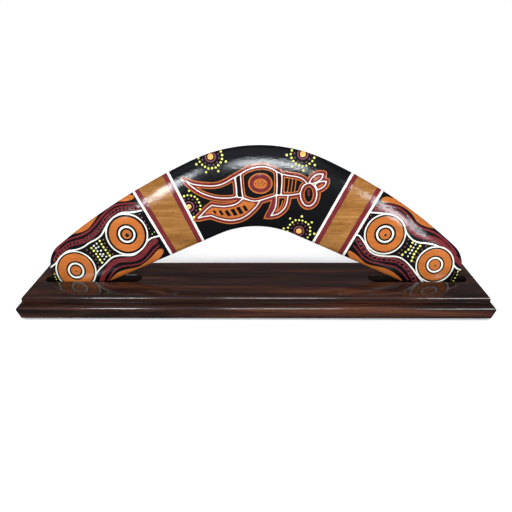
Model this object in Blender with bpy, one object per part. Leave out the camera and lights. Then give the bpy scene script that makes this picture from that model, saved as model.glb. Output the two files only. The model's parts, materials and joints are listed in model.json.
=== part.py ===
"""A painted wooden boomerang standing in the two slots of its moulded display stand.

Metres. +X runs along the stand, +Y points to the back, +Z is up. The origin is at the
centre of the footprint, on the surface that the felt pads rest on.

Pieces: the boomerang blank, the stand's board and four felt pads. The blank leans back by
LEAN against the rear rim of the slots, and lifts out along its own flat back.
"""

import math

import bmesh
import bpy
import numpy as np

MM = 0.001
GAP = 0.3 * MM  # kept between pieces that rest on each other
SAME_POINT = 0.01 * MM

# The blank, drawn flat: x along the span, y up from the line where its back leaves the slots.
SPAN = 404.3 * MM
TIP_SINK = 16.6 * MM  # how far below that line the tips reach
TIP_RADIUS = 26.6 * MM
# Slopes of the straight lower edges; the blank is cut by hand, so its arms aren't quite alike
LEFT_ARM_ANGLE = math.radians(23.5)
RIGHT_ARM_ANGLE = math.radians(24)
INNER_RADIUS = 89 * MM  # round the underside of the elbow
ELBOW_WIDTH = 75.4 * MM
ELBOW_SHIFT = 4.2 * MM  # how far right of the middle the elbow is highest
OUTER_RADIUS = 150 * MM  # round the top of the elbow
ELBOW_TURN = math.radians(24.3)  # how far round each side of the elbow that radius runs

# The blank's section: a flat back, and a front that rolls off towards both edges
THICKNESS = 9.5 * MM
BACK_EASE = 1.6 * MM  # radius of the back's rim
EDGE_HEIGHT = 3.0 * MM  # where the front starts to roll, above the back
TIP_FLAT = 0.6 * MM  # radius of the flat left in the middle of each tip, where the roll ends
ROLL_WIDTH = TIP_RADIUS - TIP_FLAT
LEAN = math.radians(13)

# Slots, round-ended and blind
SLOT_INNER_PLAY = 20.3 * MM  # free length between the arm's lower edge and the slot's inner end
SLOT_OUTER_PLAY = 6.2 * MM
RIM_EASE = 0.7 * MM

# The stand's board
END_MARGIN = 6.5 * MM  # flat top left beyond each slot
TOP_DEPTH = 59.2 * MM
BOARD_THICKNESS = 22 * MM
# Its moulded edge, downwards from the flat top
BEAD_RADIUS = 3.3 * MM
FILLET_END = 6.8 * MM  # depth where the upright under the bead ends
QUIRK = 0.7 * MM  # step in under the upright
OVOLO_END = 11.5 * MM  # depth of the widest line
MOULDING = 8.3 * MM  # how far the widest line stands out from the flat top
FOOT_TAPER = 1.6 * MM
FOOT_EASE = 1.0 * MM

# Felt pads under the board
PAD_RADIUS = 9 * MM
PAD_THICKNESS = 2 * MM
PAD_INSET = 7 * MM  # from the board's underside edge to the pad's rim
PAD_EASE = 0.4 * MM

BOARD_BOTTOM = PAD_THICKNESS + GAP
BOARD_TOP = BOARD_BOTTOM + BOARD_THICKNESS


def new_object(name, mesh, material):
    mesh.materials.append(material)
    mesh.shade_smooth()
    mesh.set_sharp_from_angle(angle=math.radians(32))
    obj = bpy.data.objects.new(name, mesh)
    bpy.context.scene.collection.objects.link(obj)
    return obj


def new_material(name, colour, roughness, coat=0.0):
    material = bpy.data.materials.new(name)
    material.use_nodes = True
    shader = material.node_tree.nodes["Principled BSDF"]
    shader.inputs["Base Color"].default_value = (*colour, 1)
    shader.inputs["Roughness"].default_value = roughness
    shader.inputs["Metallic"].default_value = 0
    shader.inputs["Coat Weight"].default_value = coat
    return material


def loft(name, rings):
    """A closed mesh through rings of equal length, each anticlockwise seen from above, upwards."""
    shape = bmesh.new()
    loops = [[shape.verts.new(point) for point in ring] for ring in rings]
    count = len(loops[0])
    for low, high in zip(loops, loops[1:]):
        for i in range(count):
            j = (i + 1) % count
            shape.faces.new((low[i], low[j], high[j], high[i]))
    shape.faces.new(loops[0][::-1])
    shape.faces.new(loops[-1])
    mesh = bpy.data.meshes.new(name)
    shape.to_mesh(mesh)
    shape.free()
    return mesh


def quarter(steps):
    """Angles from 0 to 90 degrees."""
    return [math.radians(90) * i / steps for i in range(steps + 1)]


# ---------------------------------------------------------------- the blank's outline


def edge_normal(heading):
    """Points out of the wood, for an edge walked clockwise; heading is its slope downwards."""
    return np.array([math.sin(heading), math.cos(heading)])


def tip_centre():
    return np.array([SPAN / 2 - TIP_RADIUS, TIP_RADIUS - TIP_SINK])


def elbow_centres():
    """Centres of the arcs under and over the elbow. The lower one touches both straight edges."""
    normals, distances = [], []
    for side, angle in ((1, RIGHT_ARM_ANGLE), (-1, LEFT_ARM_ANGLE)):
        normal = edge_normal(math.pi + angle) * (side, 1)
        normals.append(normal)
        distances.append(tip_centre() * (side, 1) @ normal + TIP_RADIUS + INNER_RADIUS)
    under = np.linalg.solve(normals, distances)
    over = np.array([ELBOW_SHIFT, under[1] + INNER_RADIUS + ELBOW_WIDTH - OUTER_RADIUS])
    return under, over


def half_outline(side):
    """One half, from the top of the elbow round the tip to its underside: (point, normal) pairs.

    It is a chain of tangent arcs and one straight, drawn as if on the right. The arm's long arc
    has the one radius that leaves the elbow's arc at its end and also touches the tip's circle.
    """
    lower = math.pi + (RIGHT_ARM_ANGLE if side > 0 else LEFT_ARM_ANGLE)
    tip = tip_centre()
    inner, outer = (centre * (side, 1) for centre in elbow_centres())
    turn = edge_normal(ELBOW_TURN)
    start = outer + OUTER_RADIUS * turn - tip
    arm_radius = (start @ start - TIP_RADIUS**2) / (2 * (start @ turn - TIP_RADIUS))
    arm = outer + (OUTER_RADIUS - arm_radius) * turn
    shoulder = math.atan2(*(tip - arm))  # heading where the long arc meets the tip's circle

    # centre, radius (negative where the edge is hollow), first heading, last heading, steps
    arcs = [
        (outer, OUTER_RADIUS, 0, ELBOW_TURN, 8),
        (arm, arm_radius, ELBOW_TURN, shoulder, 8),
        (tip, TIP_RADIUS, shoulder, lower, 14),
        (inner, -INNER_RADIUS, lower, math.pi, 6),
    ]
    outline = []
    for centre, radius, first, last, steps in arcs:
        for i in range(steps + 1):
            normal = edge_normal(first + (last - first) * i / steps)
            point = centre + radius * normal
            if not outline or np.linalg.norm(point - outline[-1][0]) > SAME_POINT:
                outline.append((point, normal))
    return outline


def blank_outline():
    """The whole outline, anticlockwise."""
    left = [(point * (-1, 1), normal * (-1, 1)) for point, normal in half_outline(-1)]
    return half_outline(1)[::-1] + left[1:-1]


def blank_section():
    """(inset from the edge, height above the back), from the back up to the front."""
    section = []
    for angle in quarter(2):
        section.append((BACK_EASE * (1 - math.sin(angle)), BACK_EASE * (1 - math.cos(angle))))
    roll = THICKNESS - EDGE_HEIGHT
    for angle in quarter(8):
        section.append((ROLL_WIDTH * (1 - math.cos(angle)), EDGE_HEIGHT + roll * math.sin(angle)))
    return section


def tips_at_board_top():
    """How far from the middle the tips cross the board's top: (the nearest, the furthest)."""
    crossings = []
    for side in (1, -1):
        points = np.array([point for point, _ in half_outline(side)])
        for (x0, y0), (x1, y1) in zip(points, points[1:]):
            if (y0 > 0) != (y1 > 0):
                crossings.append(x0 + (x1 - x0) * y0 / (y0 - y1))
    return min(crossings), max(crossings)


def tip_drop():
    """How far the blank's lowest point lies below the board's top."""
    lowest = min(point[1] for point, _ in blank_outline())
    depths = [(lowest + inset) * math.cos(LEAN) + height * math.sin(LEAN)
              for inset, height in blank_section()]
    return -min(depths)


def make_boomerang(material, back_y):
    outline = blank_outline()
    rings = [
        [(*(point - inset * normal), height) for point, normal in outline]
        for inset, height in blank_section()
    ]
    lift_axis = bpy.data.objects.new("lift_axis", None)
    bpy.context.scene.collection.objects.link(lift_axis)
    lift_axis.location = (0, back_y, BOARD_TOP)
    lift_axis.rotation_euler = (math.radians(90) - LEAN, 0, 0)
    boomerang = new_object("boomerang", loft("boomerang", rings), material)
    boomerang.parent = lift_axis
    return boomerang


# ---------------------------------------------------------------- the stand


def moulded_edge():
    """(how far out from the flat top, depth below it), from the top down to the underside."""
    edge = [(BEAD_RADIUS * math.sin(a), BEAD_RADIUS * (1 - math.cos(a))) for a in quarter(5)]
    edge.append((BEAD_RADIUS, FILLET_END))
    hollow = BEAD_RADIUS - QUIRK
    ovolo_start = FILLET_END + QUIRK
    for angle in quarter(6):
        out = hollow + (MOULDING - hollow) * math.sin(angle)
        edge.append((out, ovolo_start + (OVOLO_END - ovolo_start) * (1 - math.cos(angle))))
    foot = MOULDING - FOOT_TAPER
    for angle in quarter(2):
        out = foot - FOOT_EASE * (1 - math.cos(angle))
        edge.append((out, BOARD_THICKNESS - FOOT_EASE * (1 - math.sin(angle))))
    return edge


def stadium(half_length, radius, centre_x, z, steps=12):
    """A round-ended slot's outline at height z, anticlockwise."""
    ring = []
    for side, first in ((1, -90), (-1, 90)):
        for i in range(steps + 1):
            angle = math.radians(first + 180 * i / steps)
            x = centre_x + side * (half_length - radius) + radius * math.cos(angle)
            ring.append((x, radius * math.sin(angle), z))
    return ring


def make_slot_cutter(name, centre_x, half_length, width, depth):
    radius = width / 2
    above = 2 * MM
    rings = [
        stadium(half_length, radius, centre_x, BOARD_TOP - depth),
        stadium(half_length, radius, centre_x, BOARD_TOP - RIM_EASE),
        stadium(half_length + RIM_EASE, radius + RIM_EASE, centre_x, BOARD_TOP),
        stadium(half_length + RIM_EASE, radius + RIM_EASE, centre_x, BOARD_TOP + above),
    ]
    cutter = bpy.data.objects.new(name, loft(name, rings))
    bpy.context.scene.collection.objects.link(cutter)
    cutter.hide_render = True
    cutter.display_type = "WIRE"
    return cutter


def make_stand_base(material, slot_inner, slot_outer, slot_width, slot_depth):
    half_x = slot_outer + END_MARGIN
    half_y = TOP_DEPTH / 2
    rings = []
    for out, down in moulded_edge()[::-1]:
        x, y, z = half_x + out, half_y + out, BOARD_TOP - down
        rings.append([(-x, -y, z), (x, -y, z), (x, y, z), (-x, y, z)])
    base = new_object("stand_base", loft("stand_base", rings), material)
    for side, name in ((-1, "slot_cutter_left"), (1, "slot_cutter_right")):
        centre = side * (slot_inner + slot_outer) / 2
        cutter = make_slot_cutter(name, centre, (slot_outer - slot_inner) / 2, slot_width, slot_depth)
        cut = base.modifiers.new(name, "BOOLEAN")
        cut.operation = "DIFFERENCE"
        cut.solver = "EXACT"
        cut.object = cutter
    return base


def make_felt_pads(material, slot_outer):
    under = MOULDING - FOOT_TAPER - FOOT_EASE
    x = slot_outer + END_MARGIN + under - PAD_INSET - PAD_RADIUS
    y = TOP_DEPTH / 2 + under - PAD_INSET - PAD_RADIUS
    places = {"front_left": (-x, -y), "front_right": (x, -y), "back_left": (-x, y), "back_right": (x, y)}
    for place, (pad_x, pad_y) in places.items():
        shape = bmesh.new()
        bmesh.ops.create_cone(
            shape, cap_ends=True, segments=32, radius1=PAD_RADIUS, radius2=PAD_RADIUS, depth=PAD_THICKNESS
        )
        mesh = bpy.data.meshes.new("felt_pad_" + place)
        shape.to_mesh(mesh)
        shape.free()
        pad = new_object("felt_pad_" + place, mesh, material)
        pad.location = (pad_x, pad_y, PAD_THICKNESS / 2)
        ease = pad.modifiers.new("rim", "BEVEL")
        ease.width = PAD_EASE
        ease.segments = 2
        ease.limit_method = "ANGLE"


def main():
    for obj in list(bpy.data.objects):
        bpy.data.objects.remove(obj)

    paint = new_material("painted_wood", (0.02, 0.018, 0.018), 0.3, coat=0.8)
    rosewood = new_material("rosewood", (0.045, 0.016, 0.01), 0.25, coat=0.8)
    felt = new_material("felt", (0.03, 0.03, 0.03), 0.95)

    inner, outer = tips_at_board_top()
    slot_depth = tip_drop() + GAP
    slot_width = THICKNESS / math.cos(LEAN) + slot_depth * math.tan(LEAN)
    slot_inner = inner - SLOT_INNER_PLAY
    slot_outer = outer + SLOT_OUTER_PLAY

    make_boomerang(paint, back_y=slot_width / 2 - GAP)
    make_stand_base(rosewood, slot_inner, slot_outer, slot_width, slot_depth)
    make_felt_pads(felt, slot_outer)


main()
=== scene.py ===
"""The looks of a painted boomerang on its moulded rosewood stand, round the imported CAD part."""

import json
import math

import bpy
import numpy as np
from mathutils import Matrix, Vector, kdtree
from mathutils.geometry import delaunay_2d_cdt


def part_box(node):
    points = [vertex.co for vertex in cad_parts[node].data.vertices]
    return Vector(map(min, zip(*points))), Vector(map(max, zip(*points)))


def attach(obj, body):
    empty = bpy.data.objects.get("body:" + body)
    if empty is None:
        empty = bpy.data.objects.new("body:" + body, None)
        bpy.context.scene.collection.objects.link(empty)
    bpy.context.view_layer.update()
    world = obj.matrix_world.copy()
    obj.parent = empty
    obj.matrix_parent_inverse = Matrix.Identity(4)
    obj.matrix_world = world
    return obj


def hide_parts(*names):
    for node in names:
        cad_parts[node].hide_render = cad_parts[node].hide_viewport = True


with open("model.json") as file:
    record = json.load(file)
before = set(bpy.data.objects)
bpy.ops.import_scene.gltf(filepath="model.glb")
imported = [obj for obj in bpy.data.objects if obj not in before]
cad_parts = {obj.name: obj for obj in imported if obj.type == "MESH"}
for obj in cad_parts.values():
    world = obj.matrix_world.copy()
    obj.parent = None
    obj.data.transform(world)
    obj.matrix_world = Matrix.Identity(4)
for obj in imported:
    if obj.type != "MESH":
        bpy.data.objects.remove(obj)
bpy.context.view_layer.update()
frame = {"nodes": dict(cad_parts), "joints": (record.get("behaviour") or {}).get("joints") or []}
rng = np.random.default_rng(11)

# Everything below is worked in millimetres and made in metres.
MM = 0.001


def add_object(name, data):
    made = bpy.data.objects.new(name, data)
    bpy.context.scene.collection.objects.link(made)
    return made


def new_mesh(name, points, faces):
    """A mesh from points in millimetres."""
    mesh = bpy.data.meshes.new(name)
    mesh.from_pydata((np.asarray(points) * MM).tolist(), [], faces)
    return mesh


# ---------------------------------------------------------------- where the CAD part is

lift = frame["joints"][0]["axis"]
LEAN = math.atan2(lift[1], lift[2])
stand_low, stand_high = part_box("stand_base")

# The blank's own frame: x along the span, y up its back, z out of its painted front. The origin
# is where its back crosses the board's top.
behind = Vector((0, math.cos(LEAN), -math.sin(LEAN)))
back_plane = max(behind @ v.co for v in frame["nodes"]["boomerang"].data.vertices)
back_y = (back_plane + stand_high.z * math.sin(LEAN)) / math.cos(LEAN)
BLANK = Matrix.Translation((0, back_y, stand_high.z)) @ Matrix.Rotation(math.radians(90) - LEAN, 4, "X")

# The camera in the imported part's frame: metres, a lens in millimetres, and radians
EYE = Vector((0.00703, -0.36006, 0.24754))
LENS = 30.23
PITCH, YAW, ROLL = 0.503594, 0.015648, -0.008253

# ---------------------------------------------------------------- the blank's outline and section

# The sizes of the CAD blank
SPAN = 404.3
TIP_SINK = 16.6
TIP_RADIUS = 26.6
LEFT_ARM_ANGLE = math.radians(23.5)
RIGHT_ARM_ANGLE = math.radians(24)
INNER_RADIUS = 89
ELBOW_WIDTH = 75.4
ELBOW_SHIFT = 4.2
OUTER_RADIUS = 150
ELBOW_TURN = math.radians(24.3)
THICKNESS = 9.5
BACK_EASE = 1.6
EDGE_HEIGHT = 3.0
ROLL_WIDTH = 26.0
ROLL_RISE = THICKNESS - EDGE_HEIGHT
SIDE = EDGE_HEIGHT - BACK_EASE  # straight side wall between the roll and the back's rim


def edge_normal(heading):
    return np.array([math.sin(heading), math.cos(heading)])


def half_outline(side, step):
    """(point, outward normal) pairs from the elbow's top round one tip to the elbow's underside."""
    tip = np.array([SPAN / 2 - TIP_RADIUS, TIP_RADIUS - TIP_SINK])
    flips = ((1, 1), (-1, 1))
    angles = (RIGHT_ARM_ANGLE, LEFT_ARM_ANGLE)
    below = [edge_normal(math.pi + angle) * flip for angle, flip in zip(angles, flips)]
    reach = [tip * flip @ normal + TIP_RADIUS + INNER_RADIUS for normal, flip in zip(below, flips)]
    under = np.linalg.solve(below, reach)
    over = np.array([ELBOW_SHIFT, under[1] + INNER_RADIUS + ELBOW_WIDTH - OUTER_RADIUS])
    inner, outer = under * (side, 1), over * (side, 1)
    lower = math.pi + (RIGHT_ARM_ANGLE if side > 0 else LEFT_ARM_ANGLE)
    turn = edge_normal(ELBOW_TURN)
    start = outer + OUTER_RADIUS * turn - tip
    arm_radius = (start @ start - TIP_RADIUS**2) / (2 * (start @ turn - TIP_RADIUS))
    arm = outer + (OUTER_RADIUS - arm_radius) * turn
    shoulder = math.atan2(*(tip - arm))
    arcs = [
        (outer, OUTER_RADIUS, 0, ELBOW_TURN),
        (arm, arm_radius, ELBOW_TURN, shoulder),
        (tip, TIP_RADIUS, shoulder, lower),
        (inner, -INNER_RADIUS, lower, math.pi),
    ]
    found = []
    for centre, radius, first, last in arcs:
        if found:  # the straight lower edge, and nothing where two arcs meet
            begin, end = found[-1][0], centre + radius * edge_normal(first)
            count = round(float(np.linalg.norm(end - begin)) / step)
            found += [(begin + (end - begin) * i / count, edge_normal(first)) for i in range(1, count)]
        count = max(2, round(abs(radius * (last - first)) / step))
        for i in range(count + 1):
            normal = edge_normal(first + (last - first) * i / count)
            point = centre + radius * normal
            if not found or np.linalg.norm(point - found[-1][0]) > 0.01:
                found.append((point, normal))
    return np.array(found) * (side, 1)


def outline(step):
    """(points, outward normals) round the blank, anticlockwise, about a step apart."""
    whole = np.concatenate([half_outline(1, step)[::-1], half_outline(-1, step)[1:-1]])
    return whole[:, 0], whole[:, 1]


EDGE_POINTS, EDGE_NORMALS = outline(0.25)
edge_tree = kdtree.KDTree(len(EDGE_POINTS))
for index, point in enumerate(EDGE_POINTS):
    edge_tree.insert((*point, 0), index)
edge_tree.balance()


def inset_of(points):
    """(distance in from the edge, index of the nearest edge point) for each point."""
    nearest = np.array([edge_tree.find((x, y, 0))[1] for x, y in points])
    away = points - EDGE_POINTS[nearest]
    return -(away * EDGE_NORMALS[nearest]).sum(1), nearest


def front_height(inset):
    share = 1 - np.clip(inset, 0, ROLL_WIDTH) / ROLL_WIDTH
    return EDGE_HEIGHT + ROLL_RISE * np.sqrt(1 - share**2)


def on_front(points, lift_off):
    """Flat points laid on the rounded front and raised off it; past the edge they turn down the side."""
    points = np.asarray(points, float)
    inset, nearest = inset_of(points)
    normals = EDGE_NORMALS[nearest]
    turn = np.arccos(1 - np.clip(inset, 0, ROLL_WIDTH) / ROLL_WIDTH)
    out, up = ROLL_RISE * np.cos(turn), ROLL_WIDTH * np.sin(turn)
    size = np.hypot(out, up)
    out, up = np.where(inset < 0, 1, out / size), np.where(inset < 0, 0, up / size)
    flat = np.where((inset < 0)[:, None], EDGE_POINTS[nearest], points)
    height = front_height(inset) + np.minimum(inset, 0)
    flat = flat + normals * (out * lift_off)[:, None]
    return np.column_stack([flat, height + up * lift_off])


eye_x, eye_y, eye_z = (BLANK.inverted() @ EYE) / MM


def settle(points):
    """The layout is drawn as it looks on the flat of the front: each point follows its line of sight
    down to the rounded surface."""
    seen = np.asarray(points, float)
    eye = np.array([eye_x, eye_y])
    settled = seen
    for _ in range(3):
        height = front_height(inset_of(settled)[0])
        settled = eye + (seen - eye) * ((eye_z - height) / (eye_z - THICKNESS))[:, None]
    return settled


# ---------------------------------------------------------------- drawing tools


def round_turn(count):
    """That many evenly spaced angles, once round."""
    return np.linspace(0, 2 * np.pi, count + 1)[:-1]


def ripple(count, size):
    """A slow wander about that large, the same at both ends: a brush held by hand."""
    turn = np.linspace(0, 2 * np.pi, count)
    waves = [(k, rng.uniform(0, 2 * np.pi), rng.uniform(0.4, 1)) for k in (2, 3, 5, 9)]
    return size * sum(a * np.sin(k * turn + p) for k, p, a in waves) / 2


def curve(points, step=1.3):
    """A smooth line through the points, in steps of about that length."""
    p = np.array(points, float)
    p = np.concatenate([2 * p[:1] - p[1:2], p, 2 * p[-1:] - p[-2:-1]])
    out = []
    for a, b, c, d in zip(p, p[1:], p[2:], p[3:]):
        t = np.arange(count := max(1, round(float(np.linalg.norm(c - b)) / step)))[:, None] / count
        out.append(b + (c - a) * t / 2 + (2 * a - 5 * b + 4 * c - d) * t**2 / 2
                   + (3 * b - a - 3 * c + d) * t**3 / 2)
    out.append(p[-2:-1])
    return np.concatenate(out)


def loop(*parts):
    """A closed shape of smooth lines that meet in corners. Each line starts where the one before it
    ends, and the last runs back to the first point."""
    starts = [[]] + [[part[-1]] for part in parts[:-1]]
    ends = [[]] * (len(parts) - 1) + [[parts[0][0]]]
    return np.concatenate([curve(start + part + end)[:-1] for start, part, end in zip(starts, parts, ends)])


def line_normals(line):
    along = np.gradient(line, axis=0)
    along /= np.linalg.norm(along, axis=1)[:, None]
    return np.column_stack([-along[:, 1], along[:, 0]])


def brush(line, width):
    """The shape of one stroke with rounded ends."""
    line = np.asarray(line, float)
    normals = line_normals(line)
    half = width / 2 * (1 + ripple(len(line), 0.08))
    turns = np.radians(np.arange(30, 180, 30))
    first, last = normals[0], normals[-1]
    ahead = np.array([last[1], -last[0]])
    astern = np.array([-first[1], first[0]])
    nose = [line[-1] + half[-1] * (np.cos(a) * last + np.sin(a) * ahead) for a in turns]
    tail = [line[0] + half[0] * (-np.cos(a) * first + np.sin(a) * astern) for a in turns]
    left = line + normals * half[:, None]
    right = line - normals * half[:, None]
    return np.concatenate([left, nose, right[::-1], tail])


def disc(centre, radius, stretch=1.0, wander=0.1):
    count = max(12, round(2 * math.pi * radius / 1.1))
    turn = round_turn(count)
    reach = radius + ripple(count + 1, wander)[:-1]
    return np.column_stack([centre[0] + reach * np.cos(turn), centre[1] + stretch * reach * np.sin(turn)])


def inside(points, shape):
    """Which points lie in a closed shape."""
    hit = np.zeros(len(points), bool)
    low, high = shape.min(0), shape.max(0)
    near = np.flatnonzero(((points >= low) & (points <= high)).all(1))
    if not len(near):
        return hit
    x, y = points[near, 0][:, None], points[near, 1][:, None]
    (x0, y0), (x1, y1) = shape.T, np.roll(shape, -1, axis=0).T
    crosses = (y0 > y) != (y1 > y)
    with np.errstate(divide="ignore", invalid="ignore"):
        at = x0 + (y - y0) * (x1 - x0) / (y1 - y0)
    hit[near] = (crosses & (x < at)).sum(1) % 2 == 1
    return hit


def distance_to(points, shape):
    """The distance from each point to the nearest side of a closed shape."""
    a, b = shape, np.roll(shape, -1, axis=0)
    side = b - a
    reach = points[:, None] - a[None]
    t = np.clip((reach * side).sum(2) / np.maximum((side**2).sum(1), 1e-9), 0, 1)
    return np.linalg.norm(reach - t[..., None] * side, axis=2).min(1)


# Where an outline turns by more than CORNER it stays pointed as it grows, and most of all past TIP:
# in radians, and how far the point moves as a share of the distance grown.
CORNER, CORNER_REACH = 0.5, 1.12
TIP, TIP_REACH = 2.2, 1.8
SLACK = 0.04  # points that end up nearer to the old outline than the rest, by more than this, are dropped


def grown(shape, distance):
    """The shape's outline moved out by a distance, or in if it is negative."""
    ahead = np.roll(shape, -1, axis=0)
    if ((ahead[:, 0] - shape[:, 0]) * (ahead[:, 1] + shape[:, 1])).sum() > 0:
        shape = shape[::-1]
    sides = np.roll(shape, -1, axis=0) - shape
    outward = np.column_stack([sides[:, 1], -sides[:, 0]])
    outward /= np.linalg.norm(outward, axis=1)[:, None]
    moved = []
    for i, point in enumerate(shape):
        before, after = outward[i - 1], outward[i]
        angle = math.atan2(before[0] * after[1] - before[1] * after[0], before @ after)
        half = (before + after) / max(np.linalg.norm(before + after), 1e-6)
        if angle * distance > 0 and abs(angle) > CORNER:
            reach = distance * (TIP_REACH if abs(angle) > TIP else CORNER_REACH)
            moved += [point + distance * before, point + reach * half, point + distance * after]
        else:
            moved.append(point + distance * half)
    moved = np.array(moved)
    return moved[distance_to(moved, shape) > abs(distance) - SLACK]


art = []  # (colour, closed shape), painted in this order
spines = []  # points along the middle of the wider strokes, so that their paint can stand higher there
THIN_STROKE = 1.3
dots = {}  # colour: [(x, y, radius)]


def paint(colour, shape):
    art.append((colour, shape))


def stroke(colour, points, width, smooth=True):
    line = curve(points) if smooth else np.asarray(points, float)
    paint(colour, brush(line, width))
    if width > THIN_STROKE:
        spines.append(line[1:-1])


def dot(colour, x, y, radius):
    dots.setdefault(colour, []).append((x, y, radius * rng.uniform(0.88, 1.1)))


def row(colour, points, count, radius):
    """Evenly spaced dots along a smooth line."""
    line = curve(points, step=0.4)
    length = np.concatenate([[0], np.cumsum(np.linalg.norm(np.diff(line, axis=0), axis=1))])
    for s in np.linspace(0, length[-1], count):
        x, y = (np.interp(s, length, line[:, k]) for k in (0, 1))
        dot(colour, *(np.array([x, y]) + rng.uniform(-0.2, 0.2, 2)), radius)


# ---------------------------------------------------------------- the bands of bare wood

# The white lines across each arm, the one by the elbow and then the other: each is (x, y) at the
# blank's outer edge and at its inner edge.
BAND_LINES = {
    -1: (((-79, 101.5), (-49.5, 38.8)), ((-111.5, 83.5), (-80.5, 25))),
    1: (((90, 101), (56.5, 37)), ((117.5, 84), (86, 24.5))),
}
LINE_WIDTH = 2.3
STRIPE_WIDTH = 4.6
OVER_EDGE = 6  # how far each band line runs on past the edges, to go round them


def across(top, bottom, shift):
    """A line across the arm from past one edge to past the other, moved sideways by shift."""
    top, bottom = np.array(top, float), np.array(bottom, float)
    down = (bottom - top) / np.linalg.norm(bottom - top)
    sideways = np.array([-down[1], down[0]]) * shift
    ends = top - OVER_EDGE * down + sideways, bottom + OVER_EDGE * down + sideways
    return np.array([ends[0] + (ends[1] - ends[0]) * t for t in np.linspace(0, 1, 40)])


def paint_bands():
    gap = LINE_WIDTH / 2
    for side, (near, far) in BAND_LINES.items():
        edges = [across(*near, side * gap), across(*far, -side * gap)]
        paint("bare", np.concatenate([edges[0], edges[1][::-1]]))
        for inward, line in ((side, near), (-side, far)):
            stripe = across(*line, inward * (gap + STRIPE_WIDTH / 2))
            stroke("maroon", stripe, STRIPE_WIDTH, smooth=False)
            stroke("white", across(*line, 0), LINE_WIDTH, smooth=False)


# ---------------------------------------------------------------- the arms

WHITE_LINE = 1.4
RING_COLOURS = ("white", "black", "orange", "black", "white", "black", "orange")


def medallion(x, y, radii, middle):
    """Rings from the outside in, and a black dot a little off their centre."""
    for colour, radius in zip(RING_COLOURS, radii, strict=True):
        paint(colour, disc((x, y), radius))
    dot("black", x + 0.4, y - 0.7, middle)


# Left arm, outer side
paint("orange", loop([(-173, 44), (-165, 45.7), (-158, 49.3), (-152.8, 54.7), (-148, 61), (-144, 66)],
                     [(-151, 67), (-163, 59), (-174, 49)], []))
paint("orange", loop([(-128, 74.8), (-120, 75.3), (-115, 76.4), (-112, 78.2), (-112.6, 80.6), (-116, 81.4),
                      (-119, 80.6), (-124, 80)], [(-129, 78)], []))
stroke("maroon", [(-111, 73.4), (-125, 72.6), (-133, 70), (-140, 64.6), (-147, 57.6), (-152, 52),
                  (-158, 46.8), (-165, 43), (-172, 40.6), (-180, 37.8), (-187, 32.6), (-191.5, 27)], 1.7)
stroke("maroon", [(-109, 69.2), (-118, 68.9), (-127, 67.7), (-134, 64.2), (-140, 58.7), (-145, 52.2),
                  (-150, 46.7), (-156, 41.7), (-163, 37.7), (-170, 35.6), (-178, 33.2), (-185, 28.3),
                  (-190, 23.5), (-193.5, 18)], 4.2)
row("black", [(-111, 69.1), (-127, 67.7), (-140, 58.7), (-150, 46.7), (-163, 37.7), (-178, 33.2),
              (-190, 23.5), (-192.6, 19.5)], 28, 1.25)
# Left arm, inner side
paint("orange", loop([(-141.8, -2), (-137, 2.8), (-132, 6.2), (-125, 8.6), (-118, 10), (-112, 11.8),
                      (-105, 16.4), (-99, 21.6), (-94, 27.2), (-90.6, 29.4), (-87.6, 28.4), (-88, 25)],
                     [(-92, 20), (-104, 10), (-122, 2), (-141.5, -7)], []))
stroke("maroon", [(-91.5, 32.7), (-97, 27.6), (-103, 20.8), (-109.5, 15.4), (-118, 13), (-127, 12.1),
                  (-133.5, 9.6), (-138.5, 5.2), (-142.5, -0.5), (-145.5, -5)], 1.5)
stroke("maroon", [(-94.5, 37.2), (-100, 33), (-105, 27), (-110.5, 21.7), (-117, 18.9), (-125, 18.3),
                  (-132.5, 17.3), (-139, 13.8), (-144, 8), (-148, 2), (-151, -5)], 4.7)
# Its two white lines, and the medallions that they pass round
stroke("white", [(-106, 66.5), (-115, 64.8), (-124, 64.5), (-132, 60.5), (-138, 55), (-142, 49), (-146, 43),
                 (-151, 39), (-158, 35.5), (-165, 31), (-172, 28.5), (-180, 27), (-187, 22), (-192, 16),
                 (-200, 10)], WHITE_LINE)
stroke("white", [(-91, 42), (-99, 39.5), (-105, 34), (-111, 27), (-118, 23), (-130, 22.8), (-138, 20.5),
                 (-146, 13.5), (-152, 8), (-156, 2), (-160, -6)], WHITE_LINE)
medallion(-121.6, 43.6, (20.4, 19.1, 17, 10.1, 8.2, 6.5, 4.5), 1.9)
medallion(-174.4, 7.5, (20, 18.7, 17.3, 9.6, 8, 6.3, 4.8), 0.8)

# Right arm, outer side
paint("orange", loop([(118, 73.6), (117.3, 75.6), (118.8, 77.9), (122.5, 78.8), (127, 77.8), (131, 77.6)],
                     [(140, 73), (151, 65), (161, 57), (169, 48.6)],
                     [(163, 50), (156.5, 52.6), (151, 57), (146.5, 63), (140, 68), (133, 71.3),
                      (125, 73.2)]))
stroke("maroon", [(115, 71.2), (125, 70.9), (133.5, 68.6), (140.5, 64), (146.3, 58), (151, 53), (157.5, 49),
                  (166, 46.4), (174, 42.2), (181, 36.8), (187.5, 30.6), (192.5, 24)], 1.9)
stroke("maroon", [(112.5, 67.4), (121, 67), (130.5, 64.9), (137.5, 59.9), (143, 53.6), (148, 47.2),
                  (154, 42.6), (161, 40.1), (169, 38.9), (176, 35.3), (183, 29.3), (189, 23.1),
                  (194.5, 17.6), (199, 13.2)], 4.8)
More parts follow.
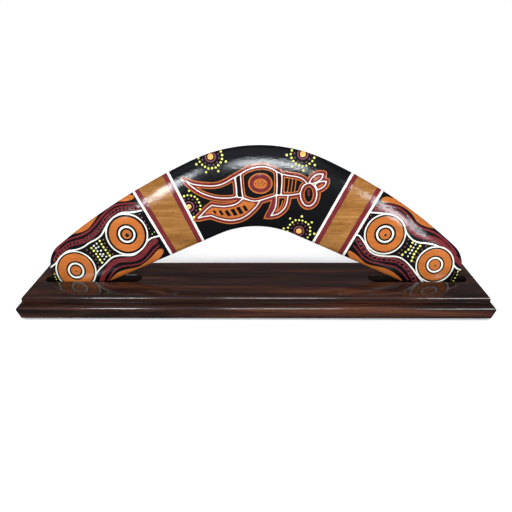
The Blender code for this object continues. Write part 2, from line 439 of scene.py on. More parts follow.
# Right arm, inner side
paint("orange", loop([(89.3, 24), (89.6, 26.4), (91.6, 27.2), (97.4, 23.2), (103.4, 17.6), (109, 13.8),
                      (118, 11.6), (127, 9.2), (135, 5), (143, -2), (145, -8)],
                     [(122, 2), (104, 10), (94, 17)]))
stroke("maroon", [(94.6, 32), (99, 27), (104.2, 20.6), (111, 16.4), (118, 14.7), (127, 13), (135.5, 10.8),
                  (142, 6), (149, -2)], 1.5)
stroke("maroon", [(98, 37.3), (103, 30), (109, 23.7), (116, 20), (125, 18.9), (134, 17.8), (140, 15.2),
                  (147, 9.9), (152, 3), (157, -5)], 4.8)
row("black", [(98.6, 36.5), (103, 30), (109, 23.7), (116, 20), (125, 18.9), (134, 17.8), (147, 9.9),
              (154, -0.5)], 16, 1.5)
stroke("white", [(108, 64.3), (118, 63.5), (128, 62), (136, 57), (141, 50), (144, 44), (149, 38.5),
                 (155, 35.5), (163, 34.5), (171, 33), (178, 29.5), (184, 25), (189, 19), (191.5, 13),
                 (195, 9.5), (200, 7.5)], WHITE_LINE)
stroke("white", [(95, 42.5), (99, 42), (104, 36), (110, 27), (117, 23), (126, 21.8), (135, 21.5), (141, 19.5),
                 (147, 15), (153, 8.5), (158, 2), (165, -6)], WHITE_LINE)
medallion(123.4, 43.4, (19.8, 18.5, 17.1, 10.3, 8.4, 6.7, 5.1), 1.2)
medallion(173.4, 13.1, (18.5, 17.2, 15.8, 9.2, 7.8, 6.2, 5.1), 0.9)

# Dots between the two medallions of each arm
row("yellow", [(-157, 30), (-152.5, 23.5), (-148, 15.5)], 6, 1.1)
row("yellow", [(-148.3, 37), (-144.5, 30), (-140, 22.5)], 6, 1.1)
for x, y in [(-151.3, 34.5), (-154.3, 32.3), (-150, 31.3), (-152.5, 30), (-151.3, 27), (-148, 27.5),
             (-149, 24), (-146, 24), (-147.3, 22), (-143.5, 21.5), (-145.5, 19)]:
    dot("white", x, y, 0.9)
row("ochre", [(-161.5, 28), (-155.5, 21.5), (-152.5, 15.3), (-151.8, 11)], 6, 0.9)
row("ochre", [(-144.7, 38.3), (-141.7, 30.3), (-137, 24.3)], 5, 0.9)
row("yellow", [(150, 35), (147, 28.5), (141.5, 23.3)], 5, 1.1)
row("yellow", [(157.5, 32), (152.5, 24), (150.7, 17.3)], 6, 1.1)
row("white", [(153, 33.5), (150.3, 27.8), (146.8, 21.6)], 5, 0.9)
row("ochre", [(146, 38), (143.5, 31.5), (138, 25)], 5, 0.9)
row("ochre", [(163, 32), (156.3, 24), (153.2, 16)], 5, 0.9)
# Dots at the tips and beside the bands
row("yellow", [(196.4, 6.2), (195.6, 2.7), (193.2, -3.2)], 4, 0.9)
row("ochre", [(193.3, 5.5), (192.2, 2.2), (190.6, -2.4)], 4, 0.7)
row("yellow", [(-196.2, 3.6), (-195.2, -1.6)], 3, 0.8)
row("ochre", [(-196.4, 8), (-196.6, 5.8)], 2, 0.7)
row("mauve", [(-107.8, 63.2), (-104.6, 57.6), (-99.8, 49.2)], 5, 0.7)
row("yellow", [(-97.2, 43.9), (-95.2, 45.9)], 2, 0.46)
row("mauve", [(108.6, 61.4), (104.6, 56.6), (101.6, 49.6)], 5, 0.6)

# ---------------------------------------------------------------- the elbow

OFF_BAND = 90  # a dot's clearance from a band's line times that line's length


def on_elbow(x, y):
    """Whether a dot at that point is on the black field, clear of both bands."""
    return all(
        side * ((bottom[1] - top[1]) * (x - top[0]) - (bottom[0] - top[0]) * (y - top[1])) > OFF_BAND
        for side, ((top, bottom), _) in BAND_LINES.items()
    )


# A plain kangaroo in the X-ray manner: white-lined panels, each with a maroon and an orange border
# inside, and one maroon and orange border round them all. Each number is how far the outline of a
# panel is moved out for the edge of that colour.
OUTER_BORDERS = (("orange", 3.5), ("maroon", 2.6), ("white", 0.4))
INNER_BORDERS = (("maroon", -0.42), ("orange", -1.9), ("black", -2.7))
HEAD_BORDERS = (("maroon", -0.42), ("orange", -2.9), ("black", -3.7))
DOTS_OUTSIDE = 4.2  # and for the line that the dots keep out of

tail = loop([(-62.6, 93.6), (-56, 90.8), (-48, 89.6), (-40, 89.1), (-33, 89.8), (-26, 92.4), (-18, 97)],
            [(-16.8, 88), (-16.4, 79)],
            [(-23, 78), (-31, 78), (-38, 79), (-46, 81.5), (-52, 84.6), (-58, 89)])
loin = loop([(-17.4, 97.2), (-12.5, 100)], [(-11.8, 89), (-10.6, 78)], [(-16, 78.8)], [(-16.4, 88)])
trunk = loop([(-12.5, 100), (-6, 103.6), (2, 106), (9, 106.4), (15, 105), (20.5, 102)],
             [(21, 91), (20.6, 80.5)], [(12, 77.8), (4, 75.4), (-2, 75.3), (-10.6, 78)], [(-11.8, 89)])
waist = loop([(20.5, 102), (25.4, 99.6)], [(25.4, 90), (24.6, 80.5)], [(20.6, 80.5)], [(21, 91)])
chest = loop([(25.4, 99.6), (33, 98.2), (40, 97), (45, 94.8), (48.5, 91.3)], [(44.5, 88.5), (42.5, 82)],
             [(34, 80.6), (24.6, 80.5)], [(25.4, 90)])
thigh = loop([(-10.6, 77.6), (-16, 72.9), (-23, 70.6), (-31, 70.1), (-39.6, 71.3)],
             [(-44, 68), (-48.5, 63.5), (-52.8, 59.2)], [(-47, 60.6), (-40.5, 61.5)],
             [(-33, 58.8), (-24, 57), (-15, 58), (-8, 61.2), (-2, 66.2), (2, 70.4), (5.4, 75.6)],
             [(-2, 75.3)])
foreleg = loop([(20.4, 80.4), (20.3, 73), (18.8, 67), (15.6, 61.5)],
               [(21, 62.6), (26, 66), (29.5, 71), (31.5, 80.5)], [])
head = disc((50.2, 80.9), 7.6, 1.38, 0.12)
ears = [loop([(50.5, 92), (53, 96.5), (57.5, 99.5), (63, 99.6)], [(61.5, 95.5), (57.5, 92.5), (53, 91)],
             []),
        loop([(55.5, 90.5), (61, 93), (66, 93)], [(65, 89.5), (62, 87), (58.3, 85.2)], [])]
panels = [tail, trunk, chest, thigh, foreleg, head]
whole = [*panels, loin, waist, *ears]
# Behind the foreleg the outer border stands further off the white line
heel = loop([(20, 79), (18, 71.5), (16.2, 66.5), (13.6, 62)], [(17, 62.6)], [])
around = [grown(shape, DOTS_OUTSIDE) for shape in [*whole, heel]]


# (radius, number of dots, colour, dot radius)
DOT_RINGS = ((7.6, 12, "mauve", 0.7), (10.7, 20, "yellow", 0.98), (14.6, 8, "yellow", 1.05))


def rosette(x, y):
    """Concentric rings of dots round a peach middle; the edges of the black field cut them off."""
    paint("mauve", disc((x, y), 5.0))
    paint("black", disc((x, y), 3.9))
    dot("peach", x, y, 2.6)
    for radius, count, colour, size in DOT_RINGS:
        first = rng.uniform(0, 2 * math.pi)
        for i in range(count):
            turn = first + 2 * math.pi * i / count
            reach = radius + rng.uniform(-0.35, 0.35)
            spot = x + reach * math.cos(turn), y + reach * math.sin(turn)
            if on_elbow(*spot) and not any(inside(np.array([spot]), shape)[0] for shape in around):
                dot(colour, *spot, size)


for centre in ((-39.5, 115.5), (-61, 70), (44, 117.5), (42, 46.5)):
    rosette(*centre)
paint_bands()

# The kangaroo: its borders, then what is inside each panel
for colour, reach in OUTER_BORDERS:
    for shape in whole if colour == "white" else [*whole, heel]:
        paint(colour, grown(shape, reach))
for shape in whole:
    is_panel = any(shape is panel for panel in panels)
    for colour, reach in INNER_BORDERS if is_panel else INNER_BORDERS[:1]:
        paint(colour, grown(shape, reach))
for shape in (loin, waist):
    paint("black", grown(shape, -0.9))
paint("orange", disc((5.7, 91.3), 11.3, 0.84))
paint("maroon", disc((5.7, 91.3), 9.9, 0.84))
paint("orange", disc((5.7, 91.1), 6.3, 0.76))
for x, y in [(1.4, 91), (3.6, 92.4), (4.4, 89.6), (6, 91.4), (7.6, 92.6), (8, 89.8), (10, 91)]:
    dot("black", x, y, 0.62)
for x in (32.2, 35.4, 38.6):
    stroke("orange", [(x - 0.2, 95), (x - 0.7, 90), (x - 1.6, 83)], 0.85)
paint("orange", grown(thigh, dict(INNER_BORDERS)["orange"]))
hatch = np.array([(-3.2, 2.2), (-0.1, 3.1), (3.2, -2.4), (0.1, -3.3)])
for x, y, size in [(-37, 64.9, 0.6), (-31, 64.2, 0.8), (-24.8, 63.8, 1), (-19, 64.8, 1.1),
                   (-13.6, 66.4, 1.15), (-8.4, 68.4, 0.9)]:
    paint("black", np.array([x, y]) + size * hatch)
stroke("orange", [(26.4, 75.5), (25.2, 71), (22, 66.6)], 0.9)
for colour, reach in HEAD_BORDERS:
    paint(colour, grown(head, reach))
stroke("maroon", [(50.2, 85), (50, 82.6), (50.3, 80.6)], 1.9)
stroke("orange", [(54.8, 94.2), (58.6, 96.6)], 1.2)
stroke("orange", [(59.4, 88.2), (62.6, 90.2)], 1.2)

# ---------------------------------------------------------------- the painted surface as meshes

OUTLINE_STEP = 2.4
ROLL_RING_ANGLES = np.radians(np.arange(0, 91, 6))  # lines of points round the rolled-off front
LEAST_STEP = 1.0
BARE_RIM = 0.3  # of the side wall, below the paint
INNER_SPACING = 1.9  # between the points of the grid that fills the rest
ROW_SPACING = INNER_SPACING * 0.87
CLEAR_OF_LINES = 0.8
UNDERSIDE = 0.1  # how far a layer of paint reaches down into the wood
PIECE_CREASE = math.radians(40)


def thinned(points, least):
    """The closed line without points nearer than that to the last one kept."""
    kept = [points[0]]
    for point in points[1:]:
        if np.linalg.norm(point - kept[-1]) > least:
            kept.append(point)
    return np.array(kept)


def partition():
    """One triangle mesh of the whole front with every painted border in it: (points, triangles, colours)."""
    shapes = [(colour, settle(shape)) for colour, shape in art]
    edge, normals = outline(OUTLINE_STEP)
    rim = edge + SIDE * normals
    limit = edge + (SIDE - BARE_RIM + ripple(len(edge), 0.12))[:, None] * normals
    rings = [thinned(edge - ROLL_WIDTH * (1 - math.cos(angle)) * normals, LEAST_STEP)
             for angle in ROLL_RING_ANGLES]
    lines = [rim, limit, *rings, *(shape for _, shape in shapes)]
    points, edges = [], []
    for line in lines:
        first, count = len(points), len(line)
        points.extend(line.tolist())
        edges.extend((first + i, first + (i + 1) % count) for i in range(count))
    points.extend(settle(np.concatenate(spines)).tolist())

    drawn = kdtree.KDTree(len(points))
    for i, (x, y) in enumerate(points):
        drawn.insert((x, y, 0), i)
    drawn.balance()
    low, high = edge.min(0), edge.max(0)
    for j, y in enumerate(np.arange(low[1], high[1], ROW_SPACING)):
        for x in np.arange(low[0] + (j % 2) * INNER_SPACING / 2, high[0], INNER_SPACING):
            if drawn.find((x, y, 0))[2] > CLEAR_OF_LINES:
                points.append([x, y])

    found = delaunay_2d_cdt([Vector(p) for p in points], edges, [], 0, 1e-4)
    flat = np.array([tuple(v) for v in found[0]])
    triangles = np.array(found[2])
    middles = flat[triangles].mean(1)
    kept = inside(middles, rim)
    triangles, middles = triangles[kept], middles[kept]
    colours = np.full(len(triangles), "black", dtype="<U8")
    for colour, shape in shapes:
        colours[inside(middles, shape)] = colour
    colours[~inside(middles, limit)] = "bare"
    return flat, triangles, colours


def borders(triangles):
    """The directed edges that only one triangle has."""
    ends = np.concatenate([triangles[:, [0, 1]], triangles[:, [1, 2]], triangles[:, [2, 0]]])
    span = ends.max() + 1
    code, back = ends[:, 0] * span + ends[:, 1], ends[:, 1] * span + ends[:, 0]
    return ends[~np.isin(code, back)]


def make_piece(name, points, faces, material, slot, body, matrix=None, nodes=()):
    """A piece from points in millimetres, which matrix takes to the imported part's frame."""
    mesh = new_mesh(name, points, faces)
    mesh.materials.append(material)
    mesh.shade_smooth()
    mesh.set_sharp_from_angle(angle=PIECE_CREASE)
    piece = add_object(name, mesh)
    piece.matrix_world = matrix or Matrix.Identity(4)
    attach(piece, body)
    if nodes:
        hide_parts(*nodes)
    return piece


def coat_of_paint(name, flat, triangles, low, high, material):
    """A closed layer, low along its borders and high inside. Its underside is just below the wood's face."""
    used, index = np.unique(triangles, return_inverse=True)
    faces = index.reshape(-1, 3)
    rim = borders(faces)
    height = np.full(len(used), high)
    height[np.unique(rim)] = low
    count = len(used)
    points = np.concatenate([on_front(flat[used], height),
                             on_front(flat[used], np.full(count, -UNDERSIDE))])
    walls = [(a, a + count, b + count, b) for a, b in rim.tolist()]
    faces = [*faces.tolist(), *(faces[:, ::-1] + count).tolist(), *walls]
    return make_piece(name, points, faces, material, "painted_wood", "boomerang", BLANK)


def blank_of_wood(flat, triangles, material):
    """The whole blank: its front from the same triangles as the paint, the back's rim and the flat back."""
    used, index = np.unique(triangles, return_inverse=True)
    faces = index.reshape(-1, 3)
    follow = dict(borders(faces).tolist())
    ring = [next(iter(follow))]
    while (step := follow[ring[-1]]) != ring[0]:
        ring.append(step)
    front = on_front(flat[used], np.zeros(len(used)))
    nearest = inset_of(flat[used][ring])[1]
    points, loops, faces = [front], [ring], faces.tolist()
    count = len(front)
    for angle in np.radians([22.5, 45, 67.5, 90]):
        at = EDGE_POINTS[nearest] - BACK_EASE * (1 - math.cos(angle)) * EDGE_NORMALS[nearest]
        points.append(np.column_stack([at, np.full(len(at), BACK_EASE * (1 - math.sin(angle)))]))
        loops.append(list(range(count, count + len(at))))
        count += len(at)
    for above, below in zip(loops, loops[1:]):
        for i in range(len(ring)):
            j = (i + 1) % len(ring)
            faces.append((above[i], below[i], below[j], above[j]))
    faces.append(loops[-1][::-1])
    return make_piece("blank", np.concatenate(points), faces, material, "painted_wood", "boomerang", BLANK,
                      nodes=("boomerang",))


# A dot's section from its underside up: (share of its radius, height), then the height of its middle
DROP = ((1.0, -UNDERSIDE), (1.0, 0.1), (0.86, 0.22), (0.5, 0.31))
DROP_TOP = 0.34


def make_dots(colour, places, material):
    """Low round drops of paint, each closed."""
    places = np.array(places)
    centres = settle(places[:, :2])
    kept = inset_of(centres)[0] > 0.3 * places[:, 2]
    around = round_turn(14)
    circle = np.column_stack([np.cos(around), np.sin(around)])
    n = len(circle)
    flat, height, faces = [], [], []
    for centre, radius in zip(centres[kept], places[kept, 2]):
        first = len(flat)
        swell = min(1.4, 0.6 + 0.35 * radius)  # a bigger dot stands higher
        for reach, lift_off in DROP:
            flat.extend(centre + radius * reach * circle)
            height.extend([lift_off * swell] * n)
        flat.append(centre)
        height.append(DROP_TOP * swell)
        for ring in range(len(DROP) - 1):
            for i in range(n):
                j = (i + 1) % n
                a = first + ring * n
                faces.append((a + i, a + j, a + n + j, a + n + i))
        top = first + (len(DROP) - 1) * n
        faces.extend((top + i, top + (i + 1) % n, top + n) for i in range(n))
        faces.append(tuple(first + i for i in reversed(range(n))))
    points = on_front(np.array(flat), np.array(height))
    return make_piece("dots_" + colour, points, faces, material, "painted_wood", "boomerang", BLANK)


# ---------------------------------------------------------------- materials


def linear(red, green, blue):
    return tuple(c / 12.92 if c <= 0.04045 else ((c + 0.055) / 1.055) ** 2.4
                 for c in (red / 255, green / 255, blue / 255)) + (1,)


def shade(colour, factor):
    return tuple(min(1, c * factor) for c in colour[:3]) + (1,)


class Nodes:
    """A material's node tree, with the few kinds of node that these finishes are made of."""

    def __init__(self, name):
        self.material = bpy.data.materials.new(name)
        self.material.use_nodes = True
        self.tree = self.material.node_tree
        self.shader = self.tree.nodes["Principled BSDF"]
        self.where = self.tree.nodes.new("ShaderNodeTexCoord").outputs["Object"]

    def link(self, out, into):
        self.tree.links.new(out, into)

    def noise(self, scale, detail, rough=0.55, distortion=0.0):
        """Noise with a scale for each axis, in features a metre."""
        spread = self.tree.nodes.new("ShaderNodeMapping")
        spread.inputs["Scale"].default_value = scale
        self.link(self.where, spread.inputs["Vector"])
        texture = self.tree.nodes.new("ShaderNodeTexNoise")
        texture.inputs["Scale"].default_value = 1
        texture.inputs["Detail"].default_value = detail
        texture.inputs["Roughness"].default_value = rough
        texture.inputs["Distortion"].default_value = distortion
        self.link(spread.outputs["Vector"], texture.inputs["Vector"])
        return texture.outputs["Fac"]

    def ramp(self, value, stops):
        node = self.tree.nodes.new("ShaderNodeValToRGB")
        elements = node.color_ramp.elements
        while len(elements) < len(stops):
            elements.new(0.5)
        for element, (position, colour) in zip(elements, stops):
            element.position = position
            element.color = colour if len(colour) == 4 else (*colour, 1)
        self.link(value, node.inputs["Fac"])
        return node.outputs["Color"]

    def grey(self, noise, low, high):
        """A noise's usual range, 0.3 to 0.7, as a number from low to high."""
        node = self.tree.nodes.new("ShaderNodeMapRange")
        for name, number in (("From Min", 0.3), ("From Max", 0.7), ("To Min", low), ("To Max", high)):
            node.inputs[name].default_value = number
        self.link(noise, node.inputs["Value"])
        return node.outputs["Result"]

    def darken(self, colour, by, factor):
        """One colour multiplied by another, to the share that factor says."""
        node = self.tree.nodes.new("ShaderNodeMix")
        node.data_type = "RGBA"
        node.blend_type = "MULTIPLY"
        share, first, second = (node.inputs[i] for i in (0, 6, 7))  # its colour sockets
        share.default_value = factor
        self.link(colour, first)
        self.link(by, second)
        return node.outputs[2]

    def bump(self, value, distance, strength=1.0, under=None):
        node = self.tree.nodes.new("ShaderNodeBump")
        node.inputs["Distance"].default_value = distance * MM
        node.inputs["Strength"].default_value = strength
        self.link(value, node.inputs["Height"])
        if under:
            self.link(under, node.inputs["Normal"])
        return node.outputs["Normal"]

    def set(self, **sockets):
        for name, value in sockets.items():
            socket = self.shader.inputs[name.replace("_", " ")]
            if isinstance(value, bpy.types.NodeSocket):
                self.link(value, socket)
            else:
                socket.default_value = value


def varnish(nodes):
    """The clear brushed coat all over the blank: it keeps the drag of the brush along it."""
    drag = nodes.noise((130, 620, 620), 3, 0.6)
    swell = nodes.noise((45, 120, 120), 2)
    grain = nodes.noise((260, 520, 520), 3, 0.7)
    coat = nodes.bump(grain, 0.08, under=nodes.bump(drag, 0.05, under=nodes.bump(swell, 0.12)))
    nodes.set(Coat_Weight=0.9, Coat_Roughness=0.12, Coat_IOR=1.4, Coat_Normal=coat, Specular_IOR_Level=0.02)
    return drag


STREAKS = 0.2  # how much lighter and darker than a paint's colour its brush marks are


def paint_finish(name, colour):
    nodes = Nodes("paint_" + name)
    colour = linear(*colour)
    drag = varnish(nodes)
    strokes = nodes.noise((70, 380, 380), 5, 0.65, 0.4)
    patches = nodes.noise((35, 60, 60), 3)
    tone = nodes.ramp(strokes, [(0.3, shade(colour, 1 - STREAKS)), (0.52, colour),
                                (0.72, shade(colour, 1 + STREAKS))])
    worn = nodes.ramp(patches, [(0.35, (0.86, 0.86, 0.86)), (0.65, (1, 1, 1))])
    nodes.set(Base_Color=nodes.darken(tone, worn, 1.0),
              Roughness=nodes.grey(drag, 0.34, 0.5),
              Normal=nodes.bump(strokes, 0.06, 0.8))
    return nodes.material


def bare_wood_finish():
    nodes = Nodes("varnished_wood")
    varnish(nodes)
    rings = nodes.noise((9, 150, 150), 4, 0.6, 0.6)
    fibres = nodes.noise((60, 1400, 1400), 4, 0.7)
    pores = nodes.noise((120, 2600, 2600), 2, 0.5)
    base = nodes.ramp(rings, [(0.3, linear(118, 76, 32)), (0.48, linear(140, 94, 46)),
                              (0.6, linear(156, 110, 60)), (0.75, linear(126, 82, 38))])
    cloudy = nodes.ramp(nodes.noise((90, 160, 160), 4, 0.6), [(0.34, (0.8, 0.78, 0.74)), (0.62, (1, 1, 1))])
    fine = nodes.ramp(fibres, [(0.32, (0.7, 0.64, 0.56)), (0.6, (1, 1, 1))])
    holes = nodes.ramp(pores, [(0.3, (0.62, 0.55, 0.48)), (0.4, (1, 1, 1))])
    grain = nodes.darken(nodes.darken(base, fine, 0.9), holes, 0.8)
    nodes.set(Base_Color=nodes.darken(grain, cloudy, 1.0),
              Roughness=nodes.grey(fibres, 0.38, 0.55),
              Normal=nodes.bump(fibres, 0.05, 0.7))
    return nodes.material


# Painted shade: the walls and floors of the slots are made near black, standing in for the dark inside of the
# deep narrow slots.
def slot_shade_finish():
    nodes = Nodes("slot_painted_shade")
    fibres = nodes.noise((60, 900, 900), 4, 0.65)
    nodes.set(Base_Color=nodes.ramp(fibres, [(0.3, linear(7, 5, 4)), (0.7, linear(22, 14, 10))]),
              Roughness=0.8, Normal=nodes.bump(fibres, 0.08), Specular_IOR_Level=0.1)
    return nodes.material


def rosewood_finish():
    nodes = Nodes("rosewood_polished")
    figure = nodes.noise((5, 70, 70), 5, 0.62, 0.8)
    stripes = nodes.noise((7, 260, 260), 3, 0.6, 0.3)
    pores = nodes.noise((70, 1700, 1700), 3, 0.6)
    base = nodes.ramp(figure, [(0.28, linear(16, 8, 6)), (0.45, linear(33, 16, 11)),
                               (0.58, linear(56, 29, 18)), (0.72, linear(84, 46, 27))])
    dark = nodes.ramp(stripes, [(0.36, (0.4, 0.34, 0.33)), (0.58, (1, 1, 1))])
    holes = nodes.ramp(pores, [(0.34, (0.35, 0.3, 0.3)), (0.46, (1, 1, 1))])
    colour = nodes.darken(nodes.darken(base, dark, 0.8), holes, 0.85)
    coat = nodes.bump(pores, 0.03, 0.8, under=nodes.bump(nodes.noise((25, 90, 90), 2), 0.1))
    nodes.set(Base_Color=colour, Roughness=nodes.grey(pores, 0.5, 0.36), Normal=nodes.bump(pores, 0.06),
              Coat_Weight=0.9, Coat_Roughness=0.1, Coat_IOR=1.42, Coat_Normal=coat, Specular_IOR_Level=0.1)
    return nodes.material


def felt_finish():
    nodes = Nodes("felt_black")
    fuzz = nodes.noise((2400, 2400, 2400), 4, 0.7)
    mat = nodes.noise((500, 500, 500), 3, 0.6)
    nodes.set(Base_Color=nodes.ramp(mat, [(0.3, linear(24, 22, 22)), (0.7, linear(52, 48, 46))]),
              Roughness=0.95, Sheen_Weight=0.4, Sheen_Roughness=0.5,
              Normal=nodes.bump(fuzz, 0.3, under=nodes.bump(mat, 0.3)))
    return nodes.material


PAINTS = {
    "black": (8, 8, 10),
    "white": (216, 213, 203),
    "orange": (166, 92, 40),
    "maroon": (100, 34, 38),
    "mauve": (112, 62, 72),
    "yellow": (210, 210, 100),
    "ochre": (92, 66, 46),
    "peach": (226, 158, 88),
}
# Height of each colour at its borders and inside them
RELIEF = {"black": (0.05, 0.05), "white": (0.08, 0.18), "orange": (0.07, 0.12), "maroon": (0.06, 0.1),
          "mauve": (0.08, 0.14), "peach": (0.08, 0.16)}

finishes = {name: paint_finish(name, colour) for name, colour in PAINTS.items()}
flat, triangles, colours = partition()
blank_of_wood(flat, triangles, bare_wood_finish())
for colour, (low, high) in RELIEF.items():
    chosen = triangles[colours == colour]
    if len(chosen):
        coat_of_paint("paint_" + colour, flat, chosen, low, high, finishes[colour])
for colour, places in dots.items():
    make_dots(colour, places, finishes[colour])

# ---------------------------------------------------------------- the stand

# The sizes of the CAD stand's edges
MOULDING = 8.3
BEAD_RADIUS = 3.3
FILLET_END = 6.8
QUIRK = 0.7
OVOLO_END = 11.5
FOOT_TAPER = 1.6
FOOT_EASE = 1.0
RIM_EASE = 0.7
PAD_EASE = 0.4

ARRIS = 0.35  # how much the sharp lines of the moulding are rubbed off
STAND_CREASE = math.radians(28)
CLEAR = 1.0  # margin in tests of where a point or a face of the board lies
INWARD_OF_SLOTS = 60.0  # an x between the middle of the board and the right slot
INSIDE_MOULDING = 5.0  # the slots' walls are further than this from the edges of the flat top
CUTTER_ABOVE = 3.0

board_top, board_bottom = stand_high.z / MM, stand_low.z / MM
half_x, half_y = stand_high.x / MM - MOULDING, stand_high.y / MM - MOULDING


def moulded_edge():
    """(how far out from the flat top, depth below it), from the top down to the underside."""
    deep = board_top - board_bottom
    turns = np.radians(np.linspace(0, 90, 13))
    edge = [(BEAD_RADIUS * math.sin(a), BEAD_RADIUS * (1 - math.cos(a))) for a in turns]
    hollow = BEAD_RADIUS - QUIRK
    start = FILLET_END + QUIRK
    edge += [(BEAD_RADIUS, FILLET_END - ARRIS), (BEAD_RADIUS - ARRIS * 0.3, FILLET_END - ARRIS * 0.3),
             (BEAD_RADIUS - ARRIS, FILLET_END)]
    edge += [(hollow + ARRIS * 0.1, start - ARRIS * 1.2)]
    for a in turns:
        out = hollow + (MOULDING - hollow) * math.sin(a)
        edge.append((out, start + (OVOLO_END - start) * (1 - math.cos(a))))
    foot = MOULDING - FOOT_TAPER
    for a in turns[::2]:
        edge.append((foot - FOOT_EASE * (1 - math.cos(a)), deep - FOOT_EASE * (1 - math.sin(a))))
    return edge


def loft(rings):
    """(points, faces) of a closed body through rings of equal length, anticlockwise and upwards."""
    count = len(rings[0])
    faces = [tuple(reversed(range(count)))]
    for level in range(len(rings) - 1):
        a = level * count
        for i in range(count):
            j = (i + 1) % count
            faces.append((a + i, a + j, a + count + j, a + count + i))
    last = (len(rings) - 1) * count
    faces.append(tuple(last + i for i in range(count)))
    return np.concatenate(rings), faces


def rectangle(x, y, z):
    """A rectangle at height z, its long sides in short steps."""
    along = np.linspace(-x, x, 25)
    front = [(a, -y, z) for a in along]
    back = [(a, y, z) for a in along[::-1]]
    return np.array(front + back)


def stadium(half_length, radius, centre_x, z):
    """A slot's round-ended outline at height z."""
    ring = []
    for side, first in ((1, -90), (-1, 90)):
        for step in range(21):
            angle = math.radians(first + 9 * step)
            ring.append((centre_x + side * (half_length - radius) + radius * math.cos(angle),
                         radius * math.sin(angle), z))
    return np.array(ring)


def slot_sizes():
    """(inner end, outer end, half width, floor height) of the right slot, read off the CAD board."""
    points = np.array([v.co for v in frame["nodes"]["stand_base"].data.vertices]) / MM
    x, y, z = points.T
    walls = (z < board_top - RIM_EASE + 0.05) & (z > board_bottom + CLEAR)  # below the slot's eased rim
    slot = points[walls & (x > INWARD_OF_SLOTS) & (np.abs(y) < half_y - INSIDE_MOULDING)]
    return slot[:, 0].min(), slot[:, 0].max(), slot[:, 1].max(), slot[:, 2].min()


def make_stand(material, slot_shade_material):
    rings = [rectangle(half_x + out, half_y + out, board_top - down) for out, down in moulded_edge()[::-1]]
    board = add_object("board", new_mesh("board", *loft(rings)))
    near, far, half_width, floor = slot_sizes()
    cutters = []
    for side in (-1, 1):
        middle, half = side * (near + far) / 2, (far - near) / 2
        levels = [(0, floor)]
        levels += [(RIM_EASE * (1 - math.cos(a)), board_top - RIM_EASE * (1 - math.sin(a)))
                   for a in np.radians(np.linspace(0, 90, 6))]
        levels.append((RIM_EASE, board_top + CUTTER_ABOVE))
        cutter = add_object("cutter", new_mesh("cutter", *loft(
            [stadium(half + ease, half_width + ease, middle, z) for ease, z in levels])))
        cut = board.modifiers.new("slot", "BOOLEAN")
        cut.operation, cut.solver, cut.object = "DIFFERENCE", "EXACT", cutter
        cutters.append(cutter)
    bpy.context.view_layer.update()
    graph = bpy.context.evaluated_depsgraph_get()
    mesh = bpy.data.meshes.new_from_object(board.evaluated_get(graph))
    mesh.materials.clear()
    mesh.materials.append(material)
    mesh.materials.append(slot_shade_material)
    # The faces of the slots' walls and floors, below the eased rim, get the painted shade material.
    for face in mesh.polygons:
        x, y, z = face.center / MM
        in_slot = near - CLEAR < abs(x) < far + CLEAR and abs(y) < half_width + CLEAR
        if in_slot and board_bottom + CLEAR < z < board_top - RIM_EASE:
            face.material_index = 1
    mesh.shade_smooth()
    mesh.set_sharp_from_angle(angle=STAND_CREASE)
    for made in (board, *cutters):
        bpy.data.objects.remove(made)
    stand = add_object("stand_board", mesh)
    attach(stand, "stand")
    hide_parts("stand_base")


def make_pads(material):
    for node in [name for name in frame["nodes"] if name.startswith("felt_pad")]:
        low, high = (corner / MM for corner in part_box(node))
        centre, radius = (low + high) / 2, (high.x - low.x) / 2
        profile = [(radius - PAD_EASE * (1 - math.cos(a)), low.z + PAD_EASE * (1 - math.sin(a)))
                   for a in np.radians([90, 60, 30, 0])]
        profile += [(radius - PAD_EASE * (1 - math.cos(a)), high.z - PAD_EASE * (1 - math.sin(a)))
                    for a in np.radians([0, 30, 60, 90])]
        turns = round_turn(48)
        rings = [np.column_stack([centre.x + r * np.cos(turns), centre.y + r * np.sin(turns),
                                  np.full(len(turns), z)]) for r, z in profile]
        make_piece(node + "_disc", *loft(rings), material, "felt", "stand", nodes=(node,))


make_stand(rosewood_finish(), slot_shade_finish())
make_pads(felt_finish())

# ---------------------------------------------------------------- camera, floor and light

forward = Vector((-math.sin(YAW) * math.cos(PITCH), math.cos(YAW) * math.cos(PITCH), -math.sin(PITCH)))
right = Vector((math.cos(YAW), math.sin(YAW), 0))
up = right.cross(forward)
turned_right = math.cos(ROLL) * right + math.sin(ROLL) * up
turned_up = -math.sin(ROLL) * right + math.cos(ROLL) * up
camera = add_object("camera", bpy.data.cameras.new("camera"))
camera.data.lens = LENS
camera.data.sensor_width = 36
camera.data.clip_start = 0.01
turn = Matrix((turned_right, turned_up, -forward)).transposed().to_4x4()
camera.matrix_world = Matrix.Translation(EYE) @ turn
bpy.context.scene.camera = camera
bpy.context.scene.view_settings.view_transform = "Standard"


FLOOR_RADIUS = 1100


def make_floor():
    nodes = Nodes("floor_pale")
    speckle = nodes.noise((300, 300, 300), 2)
    tone = nodes.ramp(speckle, [(0.3, (0.9, 0.9, 0.9)), (0.7, (0.92, 0.92, 0.92))])
    nodes.set(Base_Color=tone, Roughness=0.9, Specular_IOR_Level=0.1)
    turns = round_turn(96)
    points = FLOOR_RADIUS * np.column_stack([np.cos(turns), np.sin(turns), 0 * turns])
    mesh = new_mesh("floor", points, [tuple(range(len(turns)))])
    mesh.materials.append(nodes.material)
    floor = add_object("floor", mesh)
    floor.visible_glossy = False  # a pale floor in the varnish would be a haze over the stand


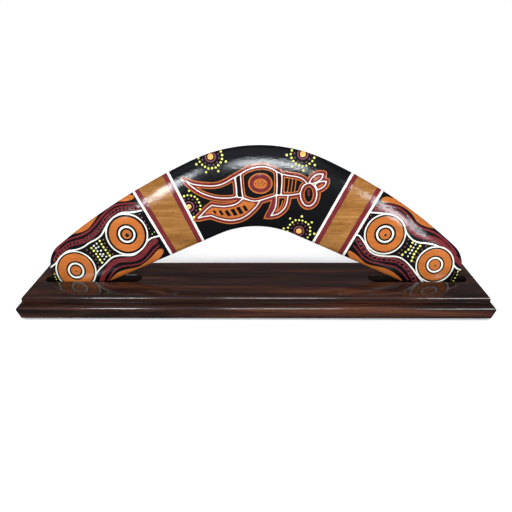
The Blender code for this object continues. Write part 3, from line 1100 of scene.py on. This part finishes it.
WINDOW_COLOUR = (0.9, 0.96, 1)
SKY_COLOUR = (0.7, 0.85, 1)
AIM = Vector((0, 0.02, 0.08))  # near the middle of the blank


def softbox(name, azimuth, elevation, distance, size, power, colour):
    """A rectangular light that faces the blank. Azimuth 0 is in front, 90 on the right."""
    a, e = math.radians(azimuth), math.radians(elevation)
    out = Vector((math.sin(a) * math.cos(e), -math.cos(a) * math.cos(e), math.sin(e)))
    data = bpy.data.lights.new(name, "AREA")
    data.shape, data.energy, data.color = "RECTANGLE", power, colour
    data.size, data.size_y = size
    light = add_object(name, data)
    light.location = AIM + out * distance
    light.rotation_euler = out.to_track_quat("Z", "Y").to_euler()


def make_lights():
    softbox("window", 3, 25, 1.6, (0.5, 0.22), 12, WINDOW_COLOUR)
    softbox("window_left", -24, 21, 1.6, (0.22, 0.32), 9, WINDOW_COLOUR)
    softbox("window_right", 33, 16, 1.6, (0.34, 0.30), 8, WINDOW_COLOUR)
    softbox("sky", -8, 56, 1.5, (1.8, 0.9), 2.4, SKY_COLOUR)
    sun = add_object("overhead", bpy.data.lights.new("overhead", "SUN"))
    sun.data.energy = 2.9
    sun.data.angle = math.radians(60)
    sun.rotation_euler = (math.radians(14), 0, 0)
    sun.visible_glossy = False

    # White behind the object, and a dim grey all round it
    world = bpy.data.worlds.new("studio")
    bpy.context.scene.world = world
    world.use_nodes = True
    tree = world.node_tree
    background = tree.nodes["Background"]
    background.inputs["Color"].default_value = (0.13, 0.13, 0.14, 1)
    seen = tree.nodes.new("ShaderNodeBackground")
    seen.inputs["Color"].default_value = (1, 1, 1, 1)
    path = tree.nodes.new("ShaderNodeLightPath")
    both = tree.nodes.new("ShaderNodeMixShader")
    tree.links.new(path.outputs["Is Camera Ray"], both.inputs["Fac"])
    tree.links.new(background.outputs["Background"], both.inputs[1])
    tree.links.new(seen.outputs["Background"], both.inputs[2])
    tree.links.new(both.outputs["Shader"], tree.nodes["World Output"].inputs["Surface"])


make_floor()
make_lights()

bpy.context.view_layer.update()
